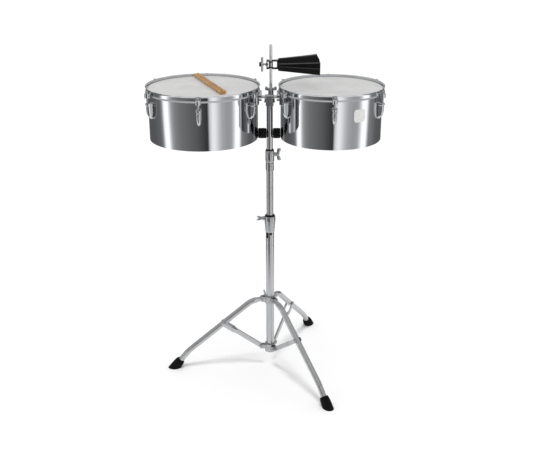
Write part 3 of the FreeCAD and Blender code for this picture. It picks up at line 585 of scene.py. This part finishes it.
def leg_frame(name):
    """Unit vectors of one leg's upright plane: outward, sideways, up."""
    azimuth = math.radians(LEG_AZIMUTHS[name])
    outward = np.array([math.cos(azimuth), math.sin(azimuth), 0])
    return outward, np.array([-outward[1], outward[0], 0]), np.array([0, 0, 1.0])


def leg(name):
    """Leg: rings carried along the bent centre line. The half width and half height go from the flat eye to
    the round tube by a smooth step, and the superellipse power from 6 to 2. Both ends close to a point."""
    outward, sideways, up = leg_frame(name)
    bends = fillet(LEG_PATH, 16.0, 10, closed=False)
    walked = np.concatenate([[0], np.cumsum(np.linalg.norm(np.diff(bends, axis=0), axis=1))])
    eye_end = -EYE_HALF[1] * np.cos(np.linspace(0, math.pi / 2, 9))
    s = np.concatenate([eye_end, np.linspace(1, walked[-1], 110)])
    spot = np.stack([np.interp(s, walked, bends[:, k]) for k in (0, 1)], 1)
    along = np.gradient(spot, s, axis=0)
    start = (LEG_PATH[1] - LEG_PATH[0]) / np.linalg.norm(LEG_PATH[1] - LEG_PATH[0])
    along[s < 2] = start
    spot[s < 0] = LEG_PATH[0] + s[s < 0, None] * start
    along /= np.linalg.norm(along, axis=1, keepdims=True)
    blend = ease((s - 11) / 24)
    wide = EYE_HALF[0] + (LEG_R - EYE_HALF[0]) * blend
    tall = EYE_HALF[1] + (LEG_R - EYE_HALF[1]) * blend
    tall = np.where(s < 0, np.sqrt(np.maximum(EYE_HALF[1] ** 2 - s ** 2, 0)), tall)
    power = (2 / (6 - 4 * blend))[:, None]
    angle = np.linspace(0, TURN, 48, endpoint=False)[None, :]
    y = wide[:, None] * np.sign(np.cos(angle)) * np.abs(np.cos(angle)) ** power
    n = tall[:, None] * np.sign(np.sin(angle)) * np.abs(np.sin(angle)) ** power
    r = spot[:, :1] - along[:, 1:] * n
    z = spot[:, 1:] + along[:, :1] * n
    rings = r[..., None] * outward + y[..., None] * sideways + z[..., None] * up
    ends = rings[[0, -1]].mean(axis=1, keepdims=True) + 0 * rings[[0, -1]]
    rings = np.concatenate([ends[:1], rings, ends[1:]]) * MM
    place(surface(name + "_leg_tube", [rings], sharp=50), name + "_leg", "stand_chrome", TUBE, name + "_leg")


def foot(name):
    """Rubber foot: a ribbed turned surface about the leg's last run; what would pass the floor slides back
    along that axis onto it, which makes the flat sole."""
    outward, _, level = leg_frame(name)
    run = (LEG_PATH[3] - LEG_PATH[2]) / np.linalg.norm(LEG_PATH[3] - LEG_PATH[2])
    up = -run[0] * outward - run[1] * level
    on_floor = (LEG_PATH[3][0] - run[0] / run[1] * LEG_PATH[3][1]) * MM * outward
    t = np.linspace(-16, FOOT_LENGTH - 0.6, 105)
    base = np.interp(t, [-16, 6, 10, 20, 30, 38, FOOT_LENGTH - 0.6], [18, 18, 17.6, 17.2, 16.2, 14.2, 11.9])
    ribs = 0.35 * np.cos(TURN * t / 3.4) * ease((t - 16) / 3) * (1 - ease((t - 34) / 3))
    treads = 0.3 * (np.cos(TURN * t / 4.5) - 1) * (1 - ease((t - 4) / 2))
    rims = np.array([(LEG_R + 0.3, FOOT_LENGTH - 0.6), (LEG_R + 0.3, FOOT_LENGTH - 9), (0, FOOT_LENGTH - 9)])
    profile = np.concatenate([[(0, t[0])], np.stack([base + ribs + treads, t], 1), rims])
    rings = lathe(profile * MM, on_floor, up, -run[1] * outward + run[0] * level, segments=72)
    rings = rings - np.minimum(rings[..., 2:3], 0) / up[2] * up
    rubber = surface(name + "_foot_rubber", [rings], sharp=50)
    place(rubber, name + "_leg", "black_rubber", RUBBER, name + "_foot")


def tubes():
    """Tubes and rods: walls turned about their own axis, with rolled ends. The bell rod has a stop groove
    and a dark plug in its open end."""
    stages = (("lower_tube", "stand_base", 1.4, TUBE), ("mid_tube", "mid_stage", 1.2, TUBE),
              ("post_tube", "upper_post", 1.2, POST))
    for node, body, wall, finish in stages:
        low, high = corners(node)
        radius = (high[0] - low[0]) / 2
        inner = radius - wall * MM
        outline = [(radius, low[2]), (radius, high[2]), (inner, high[2]), (inner, low[2])]
        rings = lathe(fillet(outline, 0.4 * MM, 3))
        place(surface(node + "_drawn", [rings], wrap=True), body, "stand_chrome", finish, node)
    low, high = corners("bell_rod")
    middle, radius = (low + high) / 2, (high[0] - low[0]) / 2
    groove, bore = high[2] - 41 * MM, radius - 1.2 * MM
    outline = [(0, low[2]), (radius, low[2]), (radius, groove - 2 * MM), (radius - 0.6 * MM, groove - 2 * MM),
               (radius - 0.6 * MM, groove), (radius, groove), (radius, high[2]), (bore, high[2]),
               (bore, high[2] - 3 * MM), (0, high[2] - 3 * MM)]
    rings = lathe(fillet(outline, 0.5 * MM, 3, closed=False), (middle[0], 0, 0), segments=64)
    place(surface("bell_rod_drawn", [rings]), "bell_rod", "stand_chrome", ROD, "bell_rod")
    plug_low = high[2] - 2.8 * MM
    plug = [(0, plug_low), (bore, plug_low), (bore, high[2] - 0.3 * MM), (0, high[2] - 0.1 * MM)]
    rings = lathe(fillet(plug, 0.4 * MM, 3, closed=False), (middle[0], 0, 0), segments=48)
    place(surface("bell_rod_plug", [rings]), "bell_rod", "black_nylon", NYLON)
    low, high = corners("cross_rod")
    radius = (high[2] - low[2]) / 2
    outline = [(0, low[0]), (radius, low[0]), (radius, high[0]), (0, high[0])]
    middle = (0, (low[1] + high[1]) / 2, (low[2] + high[2]) / 2)
    rings = lathe(fillet(outline, 0.8 * MM, 4, closed=False), middle, (1, 0, 0), (0, 1, 0), 64)
    place(surface("cross_rod_drawn", [rings]), "upper_post", "stand_chrome", CAST, "cross_rod")


def slot_shade_tongues():
    """Black tongues of the lower bushing, which also stand for the shade in two slots under the clamp (painted
    shade; no slot is cut): patches of a cylinder a little proud of the tube, their thickness falling to the
    tube at the edges by a smooth step."""
    clamp_low, _ = corners("lower_clamp")
    low, high = corners("lower_tube")
    radius = (high[0] - low[0]) / 2 / MM
    top = clamp_low[2] / MM
    grids = []
    for start, end, drop in ((-154, -112, 22), (-92, -58, 9)):
        across = np.linspace(-1, 1, 24)[None, :]
        down = np.linspace(-1, 1, 20)[:, None]
        lift = 0.35 * ease((1 - np.abs(across)) / 0.12) * ease((1 - np.abs(down)) / 0.15) - 0.1
        angle = np.radians((start + end) / 2 + (end - start) / 2 * across) + 0 * down
        z = top - drop / 2 - drop / 2 * down + 0 * across
        skin = np.stack([(radius + lift) * np.cos(angle), (radius + lift) * np.sin(angle), z], -1)
        grids.append(skin)
    place(patches("slot_shade_tongues", grids), "stand_base", "black_nylon", NYLON)


def patches(name, grids):
    """Open sheets given as grids of points, in millimetres, joined in one object."""
    vertices, faces, offset = [], [], 0
    for grid in grids:
        rows, columns = grid.shape[:2]
        r, c = np.meshgrid(np.arange(rows - 1), np.arange(columns - 1), indexing="ij")
        corner = r * columns + c
        quads = np.stack([corner, corner + 1, corner + columns + 1, corner + columns], -1)
        faces.append(quads.reshape(-1, 4) + offset)
        vertices.append(grid.reshape(-1, 3) * MM)
        offset += rows * columns
    mesh = bpy.data.meshes.new(name)
    mesh.from_pydata(np.concatenate(vertices).tolist(), [], np.concatenate(faces).tolist())
    return settled(name, mesh, 60)


def wing_grids(span, thick=3.6):
    """Two wings of a wing bolt along local X, rising along local Z. Each is an oval bar carried along a
    rising curve: it grows taller and thinner outwards and closes with a round end."""
    s = np.linspace(0, 1, 26)[:, None]
    angle = np.linspace(0, TURN, 20, endpoint=False)[None, :]
    close = np.sqrt(np.clip(1 - np.clip((s - 0.72) / 0.28, 0, 1) ** 2, 0, 1))
    tall = (4.2 + 3.0 * s) * close
    deep = thick / 2 * (1.25 - 0.35 * s) * close
    x = 3.0 + (span - 3.0) * s + 0 * angle
    climb = 5.4 + 5.2 * s ** 1.5
    grids = []
    for side in (1, -1):
        z = climb + tall * np.sin(angle)
        y = deep * np.cos(angle)
        lean = side * (x - 0.18 * (z - climb) * s)
        grids.append(np.stack([lean, y, z], -1))
    return grids


def wing_bolt(name, body, seat, along, across, span, shank=0.0, hub=6.0, bore=0.0, neck=0.0):
    """Wing bolt or nut: turned hub with a small collar, two wings, and a shank or a bore along its axis.
    A neck lifts the hub off its seat. The hub of a nut is a piece of its own."""
    outline = [(bore, 0), (hub, 0), (hub, 1.6), (hub - 0.7, 2.2), (hub - 0.9, 8.2), (hub - 2.2, 9.6),
               (bore, 9.6)]
    barrel = lathe(fillet(outline, 0.6, 3, closed=bool(bore)), segments=48)
    turn = frame_from(along, across)
    parts = wing_grids(span)
    if shank:
        stem = [(0, -shank), (2.5, -shank), (3.0, -shank + 0.6), (3.0, 1), (0, 1)]
        parts.append(lathe(stem, segments=32))
    if not bore:
        parts.append(barrel)
    for part in parts:
        part[..., 2] += np.where(part[..., 2] > 0, neck, 0)
    if neck:
        parts.append(lathe([(0, 0), (hub - 1.5, 0), (hub - 1.5, neck + 0.5), (0, neck + 0.5)], segments=32))
    placed = [np.asarray(seat) + (part * MM) @ turn for part in parts]
    if bore:
        collar = surface(name + "_hub", [np.asarray(seat) + (barrel * MM) @ turn], wrap=True)
        place(collar, body, "cast_chrome", STAND_CAST)
    place(surface(name + "_wings", placed, sharp=45), body, "cast_chrome", STAND_CAST, name)


def sleeves():
    """Rubber bumpers between the post and the shells: turned about X, with shallow rings and rounded ends."""
    low, high = corners("bumper_sleeves")
    _, post_high = corners("post_tube")
    middle = (low[2] + high[2]) / 2
    full = (high[2] - low[2]) / 2
    near = post_high[0] + 0.3 * MM
    grids = []
    for side, end in ((-1, -low[0]), (1, high[0])):
        t = np.linspace(0, 1, 60)
        round_end = np.sqrt(np.clip(1 - (np.abs(2 * t - 1) ** 9), 0.0, 1))
        ring = 1 - 0.018 * (0.5 - 0.5 * np.cos(TURN * t * 7))
        radius = np.concatenate([[4.0 * MM], full * (0.72 + 0.28 * round_end) * ring, [0.0]])
        x = np.concatenate([[near], near + (end - near) * t, [end]])
        grids.append(lathe(np.stack([radius, x], 1), (0, 0, middle), (side, 0, 0), (0, 1, 0), 64))
    closed = [np.concatenate([g[:1] * 0 + g[:1].mean(1, keepdims=True), g]) for g in grids]
    place(surface("bumper_rubber", closed, sharp=60), "upper_post", "black_rubber", RUBBER, "bumper_sleeves")


def castings():
    """Stand castings, pins and bushings: CAD shapes with rounded edges, each on its own body."""
    for node, body, bevel in (("bottom_spider", "stand_base", 0.9), ("lower_clamp", "stand_base", 1.0),
                              ("leg_collar", "leg_collar", 0.9), ("upper_clamp", "mid_stage", 0.7),
                              ("memory_lock", "memory_lock", 0.8), ("post_head", "upper_post", 1.2)):
        place(softened(node, bevel * MM), body, "cast_chrome", STAND_CAST, node)
    for node, body in (("brace_pins", "stand_base"), ("leg_pins", "leg_collar"), ("bumper_pin", "upper_post"),
                       ("memory_lock_screw", "memory_lock"), ("post_head_bolts", "upper_post")):
        place(softened(node, 0.5 * MM), body, "zinc_steel", ZINC, node)
    for node, body in (("lower_bushing", "stand_base"), ("upper_bushing", "upper_bushing")):
        place(softened(node, 0.5 * MM), body, "black_nylon", NYLON, node)
    place(softened("bell_sleeve", 0.5 * MM), "bell_sleeve", "stand_chrome", CAST, "bell_sleeve")
    for name in LEG_AZIMUTHS:
        place(softened(name + "_brace", 0.8 * MM), name + "_brace", "stand_chrome", TUBE, name + "_brace")


BOLTS = {  # node: (joint it turns on, wing span, direction of its wings, neck)
    "collar_wing_bolt": ("collar_bolt_turn", 20, (0, 0, 1), 0.0),
    "lower_wing_bolt": ("lower_bolt_turn", 20, (0, 1, 0), 5.0),
    "upper_wing_bolt": ("upper_bolt_turn", 21, (0, 0, 1), 0.0),
}


def wing_bolts():
    """All wing bolts, each seated where its joint turns."""
    for node, (turn_name, span, across, neck) in BOLTS.items():
        turn = joint(turn_name)
        wing_bolt(node, node, turn["pos_m"], turn["axis"], across, span, shank=5.5, neck=neck)
    turn = joint("rod_nut_turn")
    wing_bolt("rod_wing_nut", "rod_wing_nut", turn["pos_m"], turn["axis"], (1, 0, 0), 19, hub=7.5, bore=5.1)


def t_handle():
    """T handle of the bell clamp: turned neck and hub, a bar whose oval rings swell towards both round ends,
    and a black knob."""
    turn = joint("bell_bolt_turn")
    seat, way = np.asarray(turn["pos_m"]), frame_from(turn["axis"], (0, 0, 1))
    turned = [(0, -6.2), (3, -6.2), (3, 0), (5, 0), (5, 2), (3.6, 3), (3.6, 9), (5.4, 10), (5.4, 17.2),
              (0, 17.2)]
    neck = fillet(turned, 0.5, 3, closed=False)
    s = np.linspace(-1, 1, 48)[:, None]
    angle = np.linspace(0, TURN, 24, endpoint=False)[None, :]
    close = np.sqrt(np.clip(1 - np.clip((np.abs(s) - 0.86) / 0.14, 0, 1) ** 2, 0, 1))
    x = 24 * s + 0 * angle
    z = 13.5 + (3.2 + 0.8 * s ** 2) * close * np.sin(angle)
    y = (2.1 + 0.7 * s ** 2) * close * np.cos(angle)
    bar = np.stack([x, y, z], -1)
    knob = fillet([(0, 17), (6.5, 17), (7.5, 18.2), (7.5, 21.8), (6.3, 23), (0, 23)], 1.0, 4, closed=False)
    metal = [seat + (grid * MM) @ way for grid in (lathe(neck, segments=48), bar)]
    handle = surface("bell_clamp_handle", metal, sharp=45)
    place(handle, "bell_wing_bolt", "cast_chrome", CAST, "bell_wing_bolt")
    dark = seat + (lathe(knob, segments=48) * MM) @ way
    place(surface("bell_clamp_knob", [dark]), "bell_wing_bolt", "black_nylon", NYLON)


# ---- cowbell ----
def cowbell():
    """Folded bell: a rounded eight-sided ring that grows in a straight line from the closed end to the
    mouth, its inner wall one sheet inside, the rim between them, and both end plates closed to points.
    Above the middle facet the mouth leans back: points near it slide towards the closed end by a share of
    their height."""
    low, high = corners("cowbell")
    middle = (low[2] + high[2]) / 2
    length = (high[0] - low[0]) / MM

    def ring(h, d, w):
        flat = 0.55 * d
        outline = [(flat, h), (d, w), (d, -w), (flat, -h), (-flat, -h), (-d, -w), (-d, w), (-flat, h)]
        return fillet(outline, 5.0, 6)

    # share of the length and inset of each ring: out along the outside, over the rim, back inside
    stations = [(0.0, 0.9), (0.0, 0.0)] + [(k / 8, 0.0) for k in range(1, 9)]
    stations += [(1.0, BELL_WALL * 0.5), (1.0 - 0.004, BELL_WALL)]
    stations += [(1 - k / 8, BELL_WALL) for k in range(1, 8)] + [(BELL_WALL / length, BELL_WALL)]
    grid = []
    for s, inset in stations:
        half_height, half_depth, facet = (a + (b - a) * s for a, b in zip(BELL_NARROW, BELL_MOUTH))
        edge = ring(half_height - inset, half_depth - inset, facet)
        grid.append(np.column_stack([np.full(len(edge), length * s), edge]))
    grid = np.array(grid)
    share = (grid[..., 0] / length) ** 6
    grid[..., 0] -= MOUTH_SLANT * share * np.maximum(grid[..., 2] - BELL_MOUTH[2], 0)
    first = grid[:1].copy()
    first[..., 1:] = 0
    last = grid[-1:].copy()
    last[..., 1:] = 0
    grid = np.concatenate([first, grid, last]) * MM + np.array([low[0], 0, middle])
    sheet = surface("cowbell_sheet", [grid], sharp=55, uv=True)
    place(sheet, "bell", "black_paint", BELL_ENAMEL, "cowbell")


def bell_mount():
    """Strap round the rod, with rounded edges."""
    place(softened("bell_strap", 0.7 * MM), "bell", "black_paint", ENAMEL, "bell_strap")


# ---- sticks and badge ----
def sticks():
    """Two dowels: straight turned surfaces with rounded ends, side by side on the film."""
    for name, side, shift in (("stick_left", 1, 0.0), ("stick_right", -1, 5.0)):
        low, high = corners(name)
        run = np.append(STICK_TIP - STICK_BUTT, 0)
        length = np.linalg.norm(run)
        run = run / length
        aside = np.array([-run[1], run[0], 0])
        start = np.append(STICK_BUTT, 0) + aside * side * (STICK_R + 0.3) + run * shift
        start[2] = (low[2] + high[2]) / 2 / MM
        profile = fillet([(0, 0), (STICK_R, 0), (STICK_R, length), (0, length)], 2.4, 6, closed=False)
        rings = lathe(profile * MM, start * MM, run, aside, 48)
        place(surface(name + "_dowel", [rings], sharp=60), name, "stick_wood", WOOD, name)


def badge():
    """Blank badge: the CAD plate with a soft edge."""
    place(softened("badge", 0.6 * MM), "right_drum", "badge_enamel", BADGE, "badge")


# ---- CAD nodes that keep their shape ----
def finish_cad_nodes():
    """Better materials on the CAD nodes that stay."""
    keep = {ZINC: ["left_swivel_nuts", "right_swivel_nuts"],
            ALUMINIUM: ["left_flesh_hoop", "right_flesh_hoop"]}
    for material, nodes in keep.items():
        for node in nodes:
            data = frame["nodes"][node].data
            data.materials.clear()
            data.materials.append(material)


# ---- studio ----
TENT_RADIUS = 2.3
TENT_SPAN = (-2.5, 3.2)
TENT_TOP_LEVEL = 0.6  # brightness of the plain upper part of the tent
FLOOR_FRONT = -0.95  # the floor ends here, in front of what the camera sees
FLOOR_NEAR = (1.0, 1.4)  # half width and back edge of the patch of floor that the metal mirrors
FLOOR_FAR = 30.0
# brightness of the tent by azimuth in degrees: 0 is behind the camera, positive to the camera's right
TENT_BANDS = [(-180, 0.25), (-140, 0.12), (-113, 0.14), (-93, 0.20), (-87, 0.42), (-83, 1.3), (-79, 1.75),
              (-73, 1.7), (-69, 1.0), (-65, 0.55), (-58, 0.35), (-47, 0.255), (-31, 0.20), (-14, 0.145),
              (-2, 0.085), (7.2, 0.045), (9.6, 0.6), (12.5, 1.05), (18.5, 1.38), (24, 1.22), (31, 0.84),
              (38, 0.61), (50, 0.49), (60, 0.55), (66, 1.0), (71, 1.7), (81, 1.65), (85, 0.8), (89, 0.32),
              (113, 0.16), (140, 0.12), (180, 0.25)]


def tent():
    """Round light tent: upright panels and gaps painted by azimuth, and one plain level higher up."""
    rings = lathe([(TENT_RADIUS, TENT_SPAN[0]), (TENT_RADIUS, TENT_SPAN[1])], segments=240)
    wall = surface("light_tent", [rings])
    wall.data.flip_normals()
    material = bpy.data.materials.new("tent_light")
    material.use_nodes = True
    tree = material.node_tree
    tree.nodes.remove(tree.nodes["Principled BSDF"])
    split = add(tree, "SeparateXYZ", {"Vector": add(tree, "TexCoord").outputs["Object"]})
    back = add(tree, "Math", {0: split.outputs["Y"]}, {1: -1.0}, operation="MULTIPLY")
    angle = add(tree, "Math", {0: split.outputs["X"], 1: back.outputs["Value"]}, operation="ARCTAN2")
    share = add(tree, "MapRange", {"Value": angle.outputs["Value"]},
                {"From Min": -math.pi, "From Max": math.pi})
    bands = add(tree, "ValToRGB", {"Fac": share.outputs["Result"]})
    stops = bands.color_ramp.elements
    while len(stops) < len(TENT_BANDS):
        stops.new(0.5)
    for stop, (degrees, level) in zip(stops, TENT_BANDS):
        stop.position = (degrees + 180) / 360
        stop.color = (level, level, level, 1)
    upper = add(tree, "MapRange", {"Value": split.outputs["Z"]}, {"From Min": 0.8, "From Max": 1.1})
    plain = (TENT_TOP_LEVEL, TENT_TOP_LEVEL, TENT_TOP_LEVEL, 1)
    level = add(tree, "Mix", {0: upper.outputs["Result"], 6: bands.outputs["Color"]}, {7: plain},
                data_type="RGBA")
    glow = add(tree, "Emission", {"Color": level.outputs[2]}, {"Strength": 1.0})
    tree.links.new(glow.outputs["Emission"], tree.nodes["Material Output"].inputs["Surface"])
    wall.data.materials.append(material)
    wall.visible_camera = False
    wall.visible_diffuse = False
    wall.visible_shadow = False


def floor():
    """Plain pale floor: a near patch, and the rest round it, which polished metal does not mirror."""
    material, _, _, _ = new_material("floor_paint", "#F8F8F8", 0.9)
    far = FLOOR_FAR
    left, right, front, back = -FLOOR_NEAR[0], FLOOR_NEAR[0], FLOOR_FRONT, FLOOR_NEAR[1]
    around_patch = [(-far, front, left, far), (right, front, far, far), (left, back, right, far)]
    for name, tiles in (("floor_near", [(left, front, right, back)]), ("floor_far", around_patch)):
        points = [(x, y, 0) for x0, y0, x1, y1 in tiles
                  for x, y in ((x0, y0), (x1, y0), (x1, y1), (x0, y1))]
        mesh = bpy.data.meshes.new(name)
        mesh.from_pydata(points, [], [tuple(range(4 * k, 4 * k + 4)) for k in range(len(tiles))])
        mesh.materials.append(material)
        plane = bpy.data.objects.new(name, mesh)
        bpy.context.scene.collection.objects.link(plane)
        plane.visible_glossy = name == "floor_near"


def overhead():
    """Wide soft light from above; only the low parts of the stand throw its shadow on the floor."""
    data = bpy.data.lights.new("overhead", "SUN")
    data.angle = math.radians(16)
    data.energy = 1.25
    light = bpy.data.objects.new("overhead", data)
    light.rotation_euler = (math.radians(12), 0, 0)
    light.visible_glossy = False
    bpy.context.scene.collection.objects.link(light)
    low_parts = bpy.data.collections.new("low parts")
    for piece in bpy.context.scene.objects:
        if piece.name.endswith(("_leg_tube", "_foot_rubber", "_brace_cast")):
            low_parts.objects.link(piece)
    light.light_linking.blocker_collection = low_parts


def studio():
    """Pale floor, light tent, one wide soft light overhead and a white surround."""
    floor()
    tent()
    overhead()
    world = bpy.data.worlds.new("surround")
    bpy.context.scene.world = world
    world.use_nodes = True
    tree = world.node_tree
    seen = add(tree, "LightPath").outputs["Is Camera Ray"]
    tree.nodes["Background"].inputs["Color"].default_value = (1, 1, 1, 1)
    tree.links.new(scale_range(tree, seen, 0.74, 1.05), tree.nodes["Background"].inputs["Strength"])
    bpy.context.scene.view_settings.view_transform = "Standard"


CAMERA_PLACE = (0.01726, -2.70541, 1.58939)
CAMERA_PITCH = 21.181  # degrees below level
SENSOR_WIDTH = 36.0  # mm
LENS_TO_SENSOR = 17 / 11


def camera():
    """Camera in front of the drums and above them, pitched down."""
    data = bpy.data.cameras.new("camera")
    data.sensor_width = SENSOR_WIDTH
    data.lens = LENS_TO_SENSOR * SENSOR_WIDTH
    view = bpy.data.objects.new("camera", data)
    view.location = CAMERA_PLACE
    view.rotation_euler = (math.radians(90 - CAMERA_PITCH), 0, 0)
    bpy.context.scene.collection.objects.link(view)
    bpy.context.scene.camera = view


camera()
for drum in DRUM_SIDES:
    shell(drum)
    head(drum)
    hoop(drum)
    lugs(drum)
    tension_rods(drum)
    lug_screws(drum)
    drum_castings(drum)
for side in LEG_AZIMUTHS:
    leg(side)
    foot(side)
tubes()
slot_shade_tongues()
castings()
wing_bolts()
t_handle()
sleeves()
cowbell()
bell_mount()
sticks()
badge()
finish_cad_nodes()
studio()
